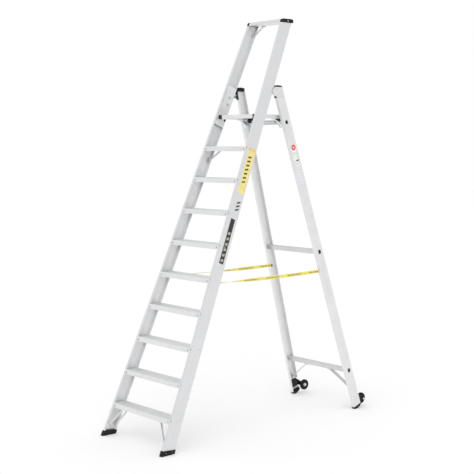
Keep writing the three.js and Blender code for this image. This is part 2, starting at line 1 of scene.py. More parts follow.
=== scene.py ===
"""Looks for a folding aluminium platform ladder with nine treads, restraint straps and transport wheels.

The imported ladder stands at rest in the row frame: X across it, Y from the climbing side to the rear, Z up.
"""

import math

import bmesh
import bpy
from mathutils import Matrix, Vector


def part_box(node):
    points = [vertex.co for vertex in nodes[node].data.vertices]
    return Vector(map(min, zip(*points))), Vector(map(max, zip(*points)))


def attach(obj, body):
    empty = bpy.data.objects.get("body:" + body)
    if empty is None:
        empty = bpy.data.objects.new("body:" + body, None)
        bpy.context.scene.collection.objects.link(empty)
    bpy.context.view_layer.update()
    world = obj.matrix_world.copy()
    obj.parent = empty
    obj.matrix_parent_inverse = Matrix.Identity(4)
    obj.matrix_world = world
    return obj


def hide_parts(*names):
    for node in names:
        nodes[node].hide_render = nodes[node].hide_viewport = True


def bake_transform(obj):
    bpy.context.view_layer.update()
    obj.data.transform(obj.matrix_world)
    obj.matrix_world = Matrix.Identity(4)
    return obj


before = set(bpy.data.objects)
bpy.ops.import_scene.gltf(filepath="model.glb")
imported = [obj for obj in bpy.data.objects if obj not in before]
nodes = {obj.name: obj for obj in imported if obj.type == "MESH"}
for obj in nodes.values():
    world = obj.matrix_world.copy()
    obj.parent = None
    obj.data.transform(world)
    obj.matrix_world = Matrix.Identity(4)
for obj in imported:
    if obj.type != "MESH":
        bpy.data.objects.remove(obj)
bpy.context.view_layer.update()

MM = 0.001
SIDES = {"right": 1, "left": -1}

# ---------------------------------------------------------------- camera

CAMERA_AT = Vector((6.0707, -5.4676, 2.1594))
CAMERA_AZIMUTH = math.radians(48.15)  # from +Y toward -X
CAMERA_PITCH = math.radians(3.14)  # below the horizon

camera_data = bpy.data.cameras.new("camera")
camera_data.lens = 79.46
camera_data.sensor_width = 36
camera_data.shift_x = -0.0035
camera_data.shift_y = -0.07
camera_data.clip_end = 200
camera = bpy.data.objects.new("camera", camera_data)
camera.location = CAMERA_AT
camera.rotation_euler = (math.radians(90) - CAMERA_PITCH, 0, CAMERA_AZIMUTH)
bpy.context.collection.objects.link(camera)
bpy.context.scene.camera = camera


# ---------------------------------------------------------------- frame measurements

# The stiles and legs are straight, so their lean and taper come from the boxes of the treads and
# crossbars that they carry. Each side has a frame on its outer face: X out, Y across the section
# from front to rear, Z up the length.
STEP_COUNT = 9
NOSE = 10 * MM  # the tread's nose, in front of the stile
STEP_END = 7 * MM  # the tread's end, inside the stile's outer face
BAR_OFFSET = 44 * MM  # the crossbar's middle, behind the leg's front edge
BAR_END = 1 * MM  # the crossbar's end, outside the leg's outer face
STILE_DEPTH, STILE_FLANGE = 98 * MM, 22 * MM

# In mm outward from the stile's outer face, or from the leg's.
BRACKET_FACE = -27.5  # the hinge bracket's inner face
STAY_FACE = -26.9  # the face of a stay's tab, on the stile's flange tips
BOOT_FACE = 4.2  # the front foot's outer face
HINGE_FACE = 4  # the hinge plate's outer face, on the leg
BRACE_RIVETS_AT = -10.3  # the lower brace's tab ends at -8.1, so these heads stand clear of it
ANCHOR_FACE = -24.2  # just off the leg's flange tips, under the strap's anchor plate
CLAMP_FACE = -28.6  # under the clamp that lies over the strap's end

tread = {i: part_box(f"step_{i}") for i in range(1, STEP_COUNT + 1)}
bar = {name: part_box(f"crossbar_{name}") for name in ("low", "middle")}
bar_middle = {name: (low + high) / 2 for name, (low, high) in bar.items()}
first, last = tread[1], tread[STEP_COUNT]
RISE = last[1].z - first[1].z
FRONT_TAN = (last[0].y - first[0].y) / RISE
FRONT_TAPER = (first[1].x - last[1].x) / RISE
BAR_RISE = bar_middle["middle"].z - bar_middle["low"].z
REAR_TAN = (bar_middle["low"].y - bar_middle["middle"].y) / BAR_RISE
REAR_TAPER = (bar["low"][1].x - bar["middle"][1].x) / BAR_RISE
FRONT_LEAN, REAR_LEAN = math.atan(FRONT_TAN), math.atan(REAR_TAN)
FRONT_EDGE = first[0].y + NOSE - first[1].z * FRONT_TAN  # at the floor
FRONT_HALF = first[1].x + STEP_END + first[1].z * FRONT_TAPER
REAR_HALF = bar["low"][1].x - BAR_END + bar_middle["low"].z * REAR_TAPER
REAR_EDGE = (bar_middle["low"].y + bar_middle["low"].z * REAR_TAN
             - BAR_OFFSET / math.cos(REAR_LEAN))


def side_frames(edge, lean, half, taper):
    """The frames of a right and a left member: its front edge and half width are those at the floor."""
    slope = math.atan(taper * math.cos(lean))
    base = Matrix.Translation((0, edge, 0)) @ Matrix.Rotation(-lean, 4, "X")
    return {name: base @ Matrix.Translation((half * s, 0, 0)) @ Matrix.Rotation(-slope * s, 4, "Y")
            for name, s in SIDES.items()}


stile_side = side_frames(FRONT_EDGE, FRONT_LEAN, FRONT_HALF, FRONT_TAPER)
leg_side = side_frames(REAR_EDGE, -REAR_LEAN, REAR_HALF, REAR_TAPER)


def facing(frames, side, out, across, up, look="out"):
    """A place in a side frame, in mm: local Z looks out, in, front or rear, local Y up the length."""
    s = SIDES[side]
    z = {"out": Vector((s, 0, 0)), "in": Vector((-s, 0, 0)),
         "front": Vector((0, -1, 0)), "rear": Vector((0, 1, 0))}[look]
    y = Vector((0, 0, 1))
    turn = Matrix((y.cross(z), y, z)).transposed().to_4x4()
    return frames[side] @ Matrix.Translation((s * out * MM, across * MM, up * MM)) @ turn


# ---------------------------------------------------------------- node graphs


class Graph:
    """A short way to write a material's nodes."""

    def __init__(self, name, color, roughness, metallic=0.0):
        self.material = bpy.data.materials.new(name)
        self.material.use_nodes = True
        self.tree = self.material.node_tree
        self.shader = self.tree.nodes["Principled BSDF"]
        self.shader.inputs["Base Color"].default_value = (*color, 1)
        self.shader.inputs["Roughness"].default_value = roughness
        self.shader.inputs["Metallic"].default_value = metallic
        self.material.diffuse_color = (*color, 1)

    def add(self, kind, inputs=None, **settings):
        node = self.tree.nodes.new("ShaderNode" + kind)
        for key, value in settings.items():
            setattr(node, key, value)
        for key, value in (inputs or {}).items():
            self.put(node.inputs[key], value)
        return node

    def put(self, socket, value):
        if isinstance(value, bpy.types.NodeSocket):
            self.tree.links.new(value, socket)
        else:
            socket.default_value = value

    def place(self, rotation=(0, 0, 0), scale=(1, 1, 1)):
        """Object coordinates, turned and scaled."""
        coords = self.add("TexCoord").outputs["Object"]
        return self.add("Mapping", {"Vector": coords, "Rotation": rotation, "Scale": scale}).outputs[0]

    def noise(self, vector, scale=1.0, detail=4.0, rough=0.55):
        node = self.add("TexNoise", {"Vector": vector, "Scale": scale, "Detail": detail,
                                     "Roughness": rough})
        return node.outputs["Fac"]

    def remap(self, value, low, high, start=0.3, end=0.7):
        node = self.add("MapRange", {"Value": value, "From Min": start, "From Max": end,
                                     "To Min": low, "To Max": high})
        return node.outputs[0]

    def math(self, operation, a, b=0.0, c=0.0):
        return self.add("Math", {0: a, 1: b, 2: c}, operation=operation).outputs[0]

    def mix(self, factor, a, b):
        node = self.add("Mix", data_type="RGBA")
        self.put(node.inputs[0], factor)
        self.put(node.inputs[6], a)
        self.put(node.inputs[7], b)
        return node.outputs[2]

    def color(self, value):
        self.put(self.shader.inputs["Base Color"], value)

    def rough(self, value):
        self.put(self.shader.inputs["Roughness"], value)

    def bumps(self, *layers):
        """Each layer is (height, distance in metres, strength)."""
        normal = None
        for height, distance, strength in layers:
            node = self.add("Bump", {"Height": height, "Distance": distance, "Strength": strength})
            if normal is not None:
                self.put(node.inputs["Normal"], normal)
            normal = node.outputs[0]
        self.put(self.shader.inputs["Normal"], normal)


def shade(color, factor):
    return tuple(min(1, c * factor) for c in color)


METALLIC = 0.72
SERRATION = 2.4 * MM  # pitch of the fine ridges on the treads; a wave of scale 1 repeats every 0.314 m


def extruded(name, color, turn, roughness=0.42, tread_lines=False, along="Z"):
    """Mill-finish aluminium: die lines along the extrusion, faint handling marks, brighter edges."""
    g = Graph(name, color, roughness, metallic=METALLIC)
    lengthwise = {"X": (0.8, 320, 320), "Y": (320, 0.8, 320), "Z": (320, 320, 0.8)}[along]
    fine = {"X": (3, 1400, 1400), "Y": (1400, 3, 1400), "Z": (1400, 1400, 3)}[along]
    lines = g.noise(g.place(turn, lengthwise), detail=2)
    grain = g.noise(g.place(turn, fine), detail=3)
    clouds = g.noise(g.place(turn, (5, 5, 5)), detail=5, rough=0.6)
    smudge = g.noise(g.place(turn, (38, 38, 14)), detail=6, rough=0.65)
    wear = g.remap(g.add("NewGeometry").outputs["Pointiness"], 0, 0.55, 0.51, 0.6)
    tone = g.mix(g.remap(clouds, 0, 1), (*shade(color, 0.94), 1), (*shade(color, 1.03), 1))
    tone = g.mix(g.remap(smudge, 0, 0.35, 0.5, 0.78), tone, (*shade(color, 0.86), 1))
    tone = g.mix(g.remap(lines, 0, 0.16), tone, (*shade(color, 0.78), 1))
    tone = g.mix(wear, tone, (*shade(color, 1.12), 1))
    g.color(tone)
    patches = g.remap(smudge, roughness - 0.06, roughness + 0.1)
    g.rough(g.math("ADD", patches, g.remap(grain, -0.04, 0.06)))
    layers = [(grain, 0.00003, 0.5), (lines, 0.00008, 0.35)]
    if tread_lines:
        # fine serrations along the rib tops, on the faces that look up
        coords = g.add("TexCoord")
        up = g.add("SeparateXYZ", {"Vector": coords.outputs["Normal"]}).outputs["Z"]
        wave = g.add("TexWave", {"Vector": g.place(), "Scale": 0.314 / SERRATION},
                     bands_direction="Y", wave_profile="SAW").outputs["Fac"]
        height = g.math("MULTIPLY", wave, g.remap(up, 0, 1, 0.9, 0.97))
        layers.append((height, 0.0006, 0.8))
    g.bumps(*layers)
    return g.material


def moulded(name, color, roughness=0.55, speckle=900, depth=0.00006):
    """Moulded plastic or rubber: fine grain, slight fading and scuffed edges."""
    g = Graph(name, color, roughness)
    g.shader.inputs["Specular IOR Level"].default_value = 0.22
    grain = g.noise(g.place(), scale=speckle, detail=2)
    clouds = g.noise(g.place(), scale=22, detail=5)
    wear = g.remap(g.add("NewGeometry").outputs["Pointiness"], 0, 0.5, 0.52, 0.62)
    tone = g.mix(g.remap(clouds, 0, 1), (*shade(color, 0.8), 1), (*shade(color, 1.25), 1))
    g.color(g.mix(wear, tone, (*[c + 0.035 for c in color], 1)))
    g.rough(g.remap(clouds, roughness - 0.07, roughness + 0.1))
    g.bumps((grain, depth, 0.6), (clouds, 0.0003, 0.15))
    return g.material


front_turn = (FRONT_LEAN, 0, 0)
rear_turn = (-REAR_LEAN, 0, 0)

stile_metal = extruded("stile_metal", (0.700, 0.705, 0.715), front_turn)
leg_metal = extruded("leg_metal", (0.80, 0.805, 0.81), rear_turn)
step_metal = extruded("step_metal", (0.765, 0.77, 0.775), (0, 0, 0), 0.4, tread_lines=True, along="X")
bar_metal = extruded("bar_metal", (0.655, 0.66, 0.67), (0, 0, 0), 0.4, along="X")
rail_metal = extruded("rail_metal", (0.72, 0.725, 0.73), (0, 0, 0), 0.36, along="X")
plate_metal = extruded("plate_metal", (0.77, 0.775, 0.78), (0, 0, 0), 0.34)
# a darker copy of the aluminium for the stays: painted shade, for the shade along their thin edges
stay_metal_painted_shade = extruded("stay_metal_painted_shade", (0.60, 0.605, 0.62), (0, 0, 0), 0.4)
zinc = extruded("zinc", (0.82, 0.825, 0.83), (0, 0, 0), 0.38)
black_plastic = moulded("black_plastic", (0.008, 0.008, 0.009), 0.5)
foot_rubber = moulded("foot_rubber", (0.008, 0.008, 0.009), 0.68, 500, 0.0001)
tyre_rubber = moulded("tyre_rubber", (0.009, 0.009, 0.010), 0.7, 500, 0.0001)
hub_plastic = moulded("hub_plastic", (0.03, 0.03, 0.032), 0.45)
pale_plastic = moulded("pale_plastic", (0.86, 0.87, 0.88), 0.4)
dark_steel = extruded("dark_steel", (0.16, 0.165, 0.17), (0, 0, 0), 0.45)


def finish_for(node):
    """The material for a CAD node, by the start of its name; the first match counts."""
    kinds = [
        (("front_stile",), stile_metal),
        (("rear_leg",), leg_metal),
        (("front_foot", "rear_foot"), foot_rubber),
        (("wheel_tyre",), tyre_rubber),
        (("wheel_hub",), hub_plastic),
        (("rail_cap", "plug", "leg_cap", "wheel_bracket", "platform_clip"), black_plastic),
        (("hinge_bracket", "platform_rest", "axle"), zinc),
        (("step_9_", "top_gusset", "lower_brace"), stay_metal_painted_shade),
        (("hinge_plate", "step_1_"), plate_metal),
        (("top_rail",), rail_metal),
        (("crossbar",), bar_metal),
        (("step_", "platform_deck"), step_metal),
    ]
    return next((material for starts, material in kinds if node.startswith(starts)), None)


# bevel widths in mm, by the start of the name
BEVEL = {"front_stile": 1.2, "rear_leg": 1.2, "top_rail": 1.0, "front_foot": 1.5, "rear_foot": 1.5,
         "leg_cap": 1.5, "rail_cap": 1.0, "wheel": 0.8}
DEFAULT_BEVEL = 0.5
for name, obj in nodes.items():
    material = finish_for(name)
    if material is None:
        continue
    obj.data.materials.clear()
    obj.data.materials.append(material)
    weld = obj.modifiers.new("weld", "WELD")
    weld.merge_threshold = 0.00002
    bevel = obj.modifiers.new("bevel", "BEVEL")
    widths = (width for start, width in BEVEL.items() if name.startswith(start))
    bevel.width = next(widths, DEFAULT_BEVEL) * MM
    bevel.segments = 2
    bevel.limit_method = "ANGLE"
    bevel.angle_limit = math.radians(35)
    bevel.use_clamp_overlap = True


# ---------------------------------------------------------------- mesh helpers


def piece(name, bm, material, body):
    """An object from a bmesh, riding on a body unless that is None."""
    mesh = bpy.data.meshes.new(name)
    bmesh.ops.recalc_face_normals(bm, faces=bm.faces)
    bm.to_mesh(mesh)
    bm.free()
    obj = bpy.data.objects.new(name, mesh)
    bpy.context.collection.objects.link(obj)
    mesh.materials.append(material)
    if body:
        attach(obj, body)
    return obj


def revolve(bm, matrix, profile, sides=24):
    """Closed solid round the matrix's Z axis. The profile's (radius, height) points, in mm, run from
    axis to axis, or round in a loop that ends where it began.
    """
    rings = []
    for radius, height in profile:
        if radius == 0:
            rings.append([bm.verts.new(matrix @ Vector((0, 0, height * MM)))])
            continue
        ring = []
        for k in range(sides):
            a = 2 * math.pi * k / sides
            point = Vector((radius * math.cos(a), radius * math.sin(a), height))
            ring.append(bm.verts.new(matrix @ (point * MM)))
        rings.append(ring)
    for a, b in zip(rings, rings[1:]):
        for k in range(sides):
            n = (k + 1) % sides
            corners = [a[k % len(a)], a[n % len(a)], b[n % len(b)], b[k % len(b)]]
            bm.faces.new(list(dict.fromkeys(corners)))


def slab(bm, matrix, outline, low, high):
    """Flat solid between two heights over an outline in mm."""
    bottom = [bm.verts.new(matrix @ (Vector((x, y, low)) * MM)) for x, y in outline]
    top = [bm.verts.new(matrix @ (Vector((x, y, high)) * MM)) for x, y in outline]
    n = len(outline)
    bm.faces.new(bottom[::-1])
    bm.faces.new(top)
    for k in range(n):
        bm.faces.new((bottom[k], bottom[(k + 1) % n], top[(k + 1) % n], top[k]))


def rounded(width, height, radius, steps=4):
    """Rounded rectangle about the origin."""
    points = []
    for quarter, (sx, sy) in enumerate(((1, 1), (-1, 1), (-1, -1), (1, -1))):
        for k in range(steps + 1):
            a = math.radians(90 * (quarter + k / steps))
            points.append((sx * (width / 2 - radius) + radius * math.cos(a),
                           sy * (height / 2 - radius) + radius * math.sin(a)))
    return points


SUNK = -0.8  # mm, how far a head's foot stands in the surface


def dome(radius, height):
    """Domed rivet head."""
    return [(0, SUNK), (radius, SUNK), (radius, 0.25 * height), (0.9 * radius, 0.55 * height),
            (0.62 * radius, 0.86 * height), (0.3 * radius, 0.97 * height), (0, height)]


def screw(radius, height):
    """Pan head with a round socket."""
    return [(0, SUNK), (radius, SUNK), (radius, 0.6 * height), (0.88 * radius, height),
            (0.5 * radius, height), (0.44 * radius, 0.35 * height), (0, 0.3 * height)]


def heads(name, places, profile, material, body, sides=24):
    """One piece with the same turned profile at each of the places."""
    bm = bmesh.new()
    for place in places:
        revolve(bm, place, profile, sides)
    return piece(name, bm, material, body)


# ---------------------------------------------------------------- rivets and screws

COS_F, SIN_F = math.cos(FRONT_LEAN), math.sin(FRONT_LEAN)
COS_R, SIN_R = math.cos(REAR_LEAN), math.sin(REAR_LEAN)


def stile_at(z, behind):
    """(across, up) in mm for a height and a level distance behind the stile's front edge."""
    return behind * COS_F, z / COS_F + behind * SIN_F


STEP_TAB, GUSSET_TAB = 16, 12  # mm, the width of a stay's tab
TAB_MIDDLE = 11  # mm, up the stile from the tab's lowest corner


def stay_foot(node):
    """(across, up) in mm for the middle of a stay's tab on the stile."""
    low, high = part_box(node)
    width = STEP_TAB if "step" in node else GUSSET_TAB
    y = (low.y - FRONT_EDGE) / MM + width / 2 * COS_F
    z = low.z / MM + width / 2 * SIN_F
    return y * COS_F - z * SIN_F, y * SIN_F + z * COS_F + TAB_MIDDLE


# (behind the stile's front edge, below the tread's top) in mm
TREAD_RIVETS = ((24, 20), (52, 18), (80, 18))

# (across, up) in mm, first in the stile's frame and then in the leg's
BRACKET_RIVETS = ((16, 2562), (82, 2562), (16, 2640), (84, 2700),
                  (16, 2760), (84, 2780), (18, 2858), (78, 2858))
BRACKET_BOLTS = ((54, 2790), (59, 2731))
BRACKET_BUSH = (84, 2606)
BOOT_SCREWS = tuple(stile_at(18, behind) for behind in (28, 82))
HINGE_RIVETS = ((20, 2672), (56, 2660), (56, 2690), (18, 2704))
WHEEL_BOLTS = ((22, 72), (60, 72), (22, 106), (60, 106))
BRACE_RIVETS = tuple((BAR_OFFSET / MM + d, 137) for d in (-8, 8))

# profiles for revolve
WASHER = [(6.2, -0.3), (9.6, -0.3), (9.6, 0.7), (6.2, 0.7), (6.2, -0.3)]
BUSH = [(0, SUNK), (9, SUNK), (9, 2), (7.5, 3), (4, 3), (3.6, 1.2), (0, 1)]

SKIRT_SCREW_IN, SKIRT_SCREW_DOWN = 26 * MM, 20 * MM  # from the tread's end and top
CAP_SCREW_IN, CAP_SCREW_BACK, CAP_SCREW_UP = 3.2 * MM, 66 * MM, 13 * MM  # from the cap's end, front and foot

for side, s in SIDES.items():
    outer = []
    for i in range(1, STEP_COUNT + 1):
        top = tread[i][1].z / MM
        for behind, drop in TREAD_RIVETS:
            outer.append(facing(stile_side, side, 0, *stile_at(top - drop, behind)))
    heads(f"tread_rivets_{side}", outer, dome(4.6, 1.6), bar_metal, "front_frame")

    # screws in the front skirts, beside the stiles
    fronts = []
    for i in range(1, STEP_COUNT + 1):
        low, high = tread[i]
        turn = Matrix.Rotation(math.radians(90), 4, "X")
        at = Vector((s * (high.x - SKIRT_SCREW_IN), low.y, high.z - SKIRT_SCREW_DOWN))
        fronts.append(Matrix.Translation(at) @ turn)
    heads(f"skirt_screws_{side}", fronts, screw(4.2, 2.2), dark_steel, "front_frame")

    feet = [facing(stile_side, side, STAY_FACE, *stay_foot(f"{stay}_{side}"), "in")
            for stay in ("step_1_front_strut", "step_1_rear_strut", "step_9_gusset", "top_gusset")]
    heads(f"stay_rivets_{side}", feet, dome(4.2, 2.2), plate_metal, "front_frame")

    inner = [facing(stile_side, side, BRACKET_FACE, d, up, "in") for d, up in BRACKET_RIVETS]
    heads(f"bracket_rivets_{side}", inner, dome(4.4, 2.2), plate_metal, "front_frame")
    washers = [facing(stile_side, side, BRACKET_FACE, d, up, "in") for d, up in BRACKET_BOLTS]
    heads(f"bolt_washers_{side}", washers, WASHER, dark_steel, "front_frame", 28)
    bush = [facing(stile_side, side, BRACKET_FACE, *BRACKET_BUSH, "in")]
    heads(f"bracket_bush_{side}", bush, BUSH, black_plastic, "front_frame")

    plate = [facing(leg_side, side, HINGE_FACE, d, up) for d, up in HINGE_RIVETS]
    heads(f"hinge_rivets_{side}", plate, dome(5, 2), bar_metal, "rear_frame")

    braces = [facing(leg_side, side, BRACE_RIVETS_AT, d, up, "in") for d, up in BRACE_RIVETS]
    heads(f"brace_rivets_{side}", braces, dome(3.6, 1.8), plate_metal, "rear_frame")

    wheel_bolts = [facing(leg_side, side, 0, d, up) for d, up in WHEEL_BOLTS]
    heads(f"bracket_screws_{side}", wheel_bolts, dome(4.8, 1.8), bar_metal, "rear_frame")

    boot = [facing(stile_side, side, BOOT_FACE, *spot) for spot in BOOT_SCREWS]
    heads(f"boot_screws_{side}", boot, screw(4.5, 1.8), dark_steel, "front_frame")

    low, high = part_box(f"rail_cap_{side}")
    x = s * (max(abs(low.x), abs(high.x)) - CAP_SCREW_IN)
    turn = Matrix.Rotation(s * math.radians(90), 4, "Y")
    place = Matrix.Translation((x, low.y + CAP_SCREW_BACK, low.z + CAP_SCREW_UP)) @ turn
    heads(f"cap_screw_{side}", [place], screw(5.2, 2.4), zinc, "front_frame")


# ---------------------------------------------------------------- platform end caps

deck_low, deck_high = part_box("platform_deck")

CAP_LENGTH = 30 * MM
CAP_LIP = 12 * MM  # how far the cap reaches back over the deck
CAP_FLANK = 24 * MM  # how far its end reaches back
CAP_OUT = 1.2 * MM  # the cap's end, beyond the deck's
CAP_OVER, CAP_UNDER = 0.6 * MM, 0.5 * MM  # how far it stands above and below the deck
CAP_FRONT = 1.4 * MM  # how far it stands in front


def end_cap(side):
    """Black shell over the end of the platform's front profile."""
    s = SIDES[side]
    x_end, y, z0, z1 = deck_high.x + CAP_OUT, deck_low.y, deck_low.z - CAP_UNDER, deck_high.z + CAP_OVER
    top = deck_high.z
    bm = bmesh.new()

    def shell(xs, ys, zs, radius):
        """A wall between two places along each axis, with its edges along X rounded."""
        frame_x = Matrix(((0, 0, s, 0), (s, 0, 0, 0), (0, 1, 0, 0), (0, 0, 0, 1)))
        middle_y, middle_z = s * sum(ys) / 2 / MM, sum(zs) / 2 / MM
        corners = rounded((ys[1] - ys[0]) / MM, (zs[1] - zs[0]) / MM, radius, 3)
        outline = [(middle_y + a, middle_z + b) for a, b in corners]
        slab(bm, frame_x, outline, xs[0] / MM, xs[1] / MM)

    # the walls' outer faces are a little apart, so that no two coincide
    length = (x_end - CAP_LENGTH, x_end)
    shell(length, (y - CAP_FRONT, y), (z0, z1), 0.5)
    shell(length, (y - 0.0012, y + CAP_LIP), (top - 0.0006, top + 0.0007), 0.5)
    shell((x_end - CAP_OUT, x_end + 0.0004), (y - CAP_FRONT, y + CAP_FLANK), (z0, z1), 0.7)
    return piece(f"deck_cap_{side}", bm, black_plastic, "platform")


for side in SIDES:
    end_cap(side)


# ---------------------------------------------------------------- wheel centres

RIBS = 6
RIB_RADIUS = 18.2 * MM  # from the axle to a rib's middle

for side, s in SIDES.items():
    low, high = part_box(f"wheel_tyre_{side}")
    middle = (low + high) / 2
    half = (high.x - low.x) / 2 / MM
    faces = [Matrix.Translation(middle) @ Matrix.Rotation(look * math.radians(90), 4, "Y")
             for look in (1, -1)]

    # ring round the axle, proud of the hub's face
    ring = [(8.9, half - 6), (13.8, half - 5.6), (13.8, half - 1.8), (12.8, half - 0.8),
            (9.8, half - 0.6), (8.9, half - 1.2), (8.9, half - 6)]
    heads(f"wheel_centre_{side}", faces, ring, pale_plastic, f"wheel_{side}", 32)

    bm = bmesh.new()
    for place in faces:
        for k in range(RIBS):
            turn = Matrix.Rotation(2 * math.pi * k / RIBS, 4, "Z")
            spoke = place @ turn @ Matrix.Translation((RIB_RADIUS, 0, 0))
            slab(bm, spoke, rounded(8.4, 3, 1, 2), half - 6, half - 3.4)
    piece(f"wheel_ribs_{side}", bm, hub_plastic, f"wheel_{side}")


# ---------------------------------------------------------------- labels without lettering

FILM = (0.05, 0.3)  # mm, a sticker's underside and top above the metal
PRINT = 0.12  # mm, how much higher the marks printed on a sticker stand


def label(name, frames, side, body, across, up, width, height, material, slot, radius=3, lift=0.0,
          shapes=None):
    """Thin sticker on the outer face. Shapes, where given, are its outlines instead of the rectangle."""
    bm = bmesh.new()
    place = facing(frames, side, 0, across, up)
    for outline in shapes or [rounded(width, height, radius)]:
        slab(bm, place, outline, FILM[0] + lift, FILM[1] + lift)
    return piece(name, bm, material, body)


def bars(count, width, thick, pitch, lean=0.0):
    """A column of plain bars, their right ends raised by twice the lean."""
    rows = []
    for k in range(count):
        y = (k - (count - 1) / 2) * pitch
        rows.append([(-width / 2, y - thick / 2 - lean), (width / 2, y - thick / 2 + lean),
                     (width / 2, y + thick / 2 + lean), (-width / 2, y + thick / 2 - lean)])
    return rows


def vinyl(name, color, roughness=0.35):
    """Printed film, a little faded and scratched."""
    g = Graph(name, color, roughness)
    cloud = g.noise(g.place(), scale=30, detail=5)
    scratch = g.noise(g.place(front_turn, (900, 900, 14)), detail=3)
    tone = g.mix(g.remap(cloud, 0, 1), (*shade(color, 0.93), 1), (*shade(color, 1.05), 1))
    g.color(g.mix(g.remap(scratch, 0, 0.3, 0.66, 0.8), tone, (*shade(color, 0.75), 1)))
    g.rough(g.remap(cloud, roughness - 0.05, roughness + 0.12))
    g.bumps((cloud, 0.0001, 0.3), (scratch, 0.00003, 0.3))
    return g.material


yellow_vinyl = vinyl("yellow_vinyl", (0.84, 0.72, 0.25))
brown_vinyl = vinyl("brown_vinyl", (0.07, 0.06, 0.035))
sand_vinyl = vinyl("sand_vinyl", (0.82, 0.56, 0.24))
black_vinyl = vinyl("black_vinyl", (0.02, 0.02, 0.018))
pale_vinyl = vinyl("pale_vinyl", (0.86, 0.87, 0.86))
film_vinyl = vinyl("film_vinyl", (0.76, 0.76, 0.79))
olive_vinyl = vinyl("olive_vinyl", (0.42, 0.41, 0.33))
red_vinyl = vinyl("red_vinyl", (0.72, 0.12, 0.09))
green_vinyl = vinyl("green_vinyl", (0.72, 0.85, 0.70))
grey_vinyl = vinyl("grey_vinyl", (0.50, 0.50, 0.56))

# across, up, width and height in mm, in the frame of the stile or leg
for side in SIDES:
    on_stile = (stile_side, side, "front_frame")
    label(f"band_{side}", *on_stile, 54, 2160, 68, 340, yellow_vinyl, "webbing", 5)
    label(f"band_end_{side}", *on_stile, 54, 2341, 68, 24, sand_vinyl, "webbing", 4)
    label(f"band_marks_{side}", *on_stile, 53, 2180, 0, 0, brown_vinyl, "black_plastic", 0, PRINT,
          bars(7, 32, 14, 33, 5 * SIDES[side]))
    label(f"slashes_{side}", *on_stile, 64, 1890, 0, 0, black_vinyl, "black_plastic", 0, 0,
          bars(3, 32, 13, 28, 8 * SIDES[side]))
    label(f"panel_{side}", *on_stile, 54, 1611, 42, 350, black_vinyl, "black_plastic", 2)
    label(f"panel_marks_{side}", *on_stile, 54, 1566, 0, 0, olive_vinyl, "hub_plastic", 0, PRINT,
          bars(6, 24, 20, 42, 3 * SIDES[side]))

on_leg = (leg_side, "right", "rear_frame")
label("round_ground", *on_leg, 42, 2231, 52, 66, pale_vinyl, "hub_plastic", 22)
heads("round_ring", [facing(leg_side, "right", 0, 42, 2237)],
      [(7, 0.32), (24, 0.32), (24, 0.5), (7, 0.5), (7, 0.32)], red_vinyl, "rear_frame", 40)
label("green_patch", *on_leg, 34, 2158, 46, 50, green_vinyl, "hub_plastic", 10)
label("info_ground", *on_leg, 40, 2030, 46, 180, film_vinyl, "hub_plastic", 5)
label("info_lines", *on_leg, 40, 2030, 0, 0, grey_vinyl, "hub_plastic", 0, PRINT,
      bars(7, 34, 2.4, 24))
label("info_mark", *on_leg, 52, 2129, 26, 10, black_vinyl, "black_plastic", 2)


# ---------------------------------------------------------------- straps

WARP, WEFT = 1.8 * MM, 2.6 * MM  # the weave's pitches
DASH, DASH_GROUP = 22 * MM, 235 * MM  # the pitches of the dashes and of their groups
DASH_SHARE, GROUP_SHARE = 0.55, 0.62  # how much of each pitch is printed
DASH_HALF = 5.2 * MM  # half a dash's width


def webbing_material():
    """Woven polyester in map coordinates: metres along the strap, and metres across it."""
    g = Graph("webbing", (0.92, 0.82, 0.18), 0.82)
    flat = g.add("UVMap", uv_map="strap").outputs[0]
    parts = g.add("SeparateXYZ", {"Vector": flat})
    along, across = parts.outputs["X"], parts.outputs["Y"]
    warp = g.math("SINE", g.math("MULTIPLY", across, 2 * math.pi / WARP))
    weft = g.math("SINE", g.math("MULTIPLY", along, 2 * math.pi / WEFT))
    weave = g.math("MULTIPLY", warp, weft)
    cloud = g.noise(g.place(), scale=18, detail=4)
    tone = g.mix(g.remap(cloud, 0, 1), (0.88, 0.76, 0.13, 1), (0.97, 0.89, 0.26, 1))
    tone = g.mix(g.remap(weave, 0, 0.35, -1, 1), tone, (0.66, 0.52, 0.09, 1))
    # a row of plain printed dashes along the middle, in groups
    dash = g.math("LESS_THAN", g.math("FRACT", g.math("DIVIDE", along, DASH)), DASH_SHARE)
    group = g.math("LESS_THAN", g.math("FRACT", g.math("DIVIDE", along, DASH_GROUP)), GROUP_SHARE)
    middle = g.math("LESS_THAN", g.math("ABSOLUTE", across), DASH_HALF)
    printed = g.math("MULTIPLY", g.math("MULTIPLY", dash, group), middle)
    tone = g.mix(g.math("MULTIPLY", printed, 0.88), tone, (0.05, 0.045, 0.03, 1))
    # darker selvedges
    edge = g.remap(g.math("ABSOLUTE", across), 0, 0.5, 0.0105, 0.0125)
    g.color(g.mix(edge, tone, (0.74, 0.57, 0.09, 1)))
    g.rough(g.remap(cloud, 0.74, 0.9))
    g.bumps((weave, 0.0004, 0.7))
    return g.material


webbing = webbing_material()


def smooth(value):
    """An eased step from 0 to 1."""
    value = min(1, max(0, value))
    return value * value * (3 - 2 * value)


STRAP_THICKNESS = 2 * MM
SAG = 6 * MM
TURN = {"right": (0.0, 0.42), "left": (0.35, 0.9)}  # where along the strap its twist begins and ends
STITCHED = 0.035  # the share of each end that is doubled over and stitched
DOUBLED = 1.7  # how much thicker it is there
RINGS, ACROSS = 90, 8  # mesh steps along the strap and across it


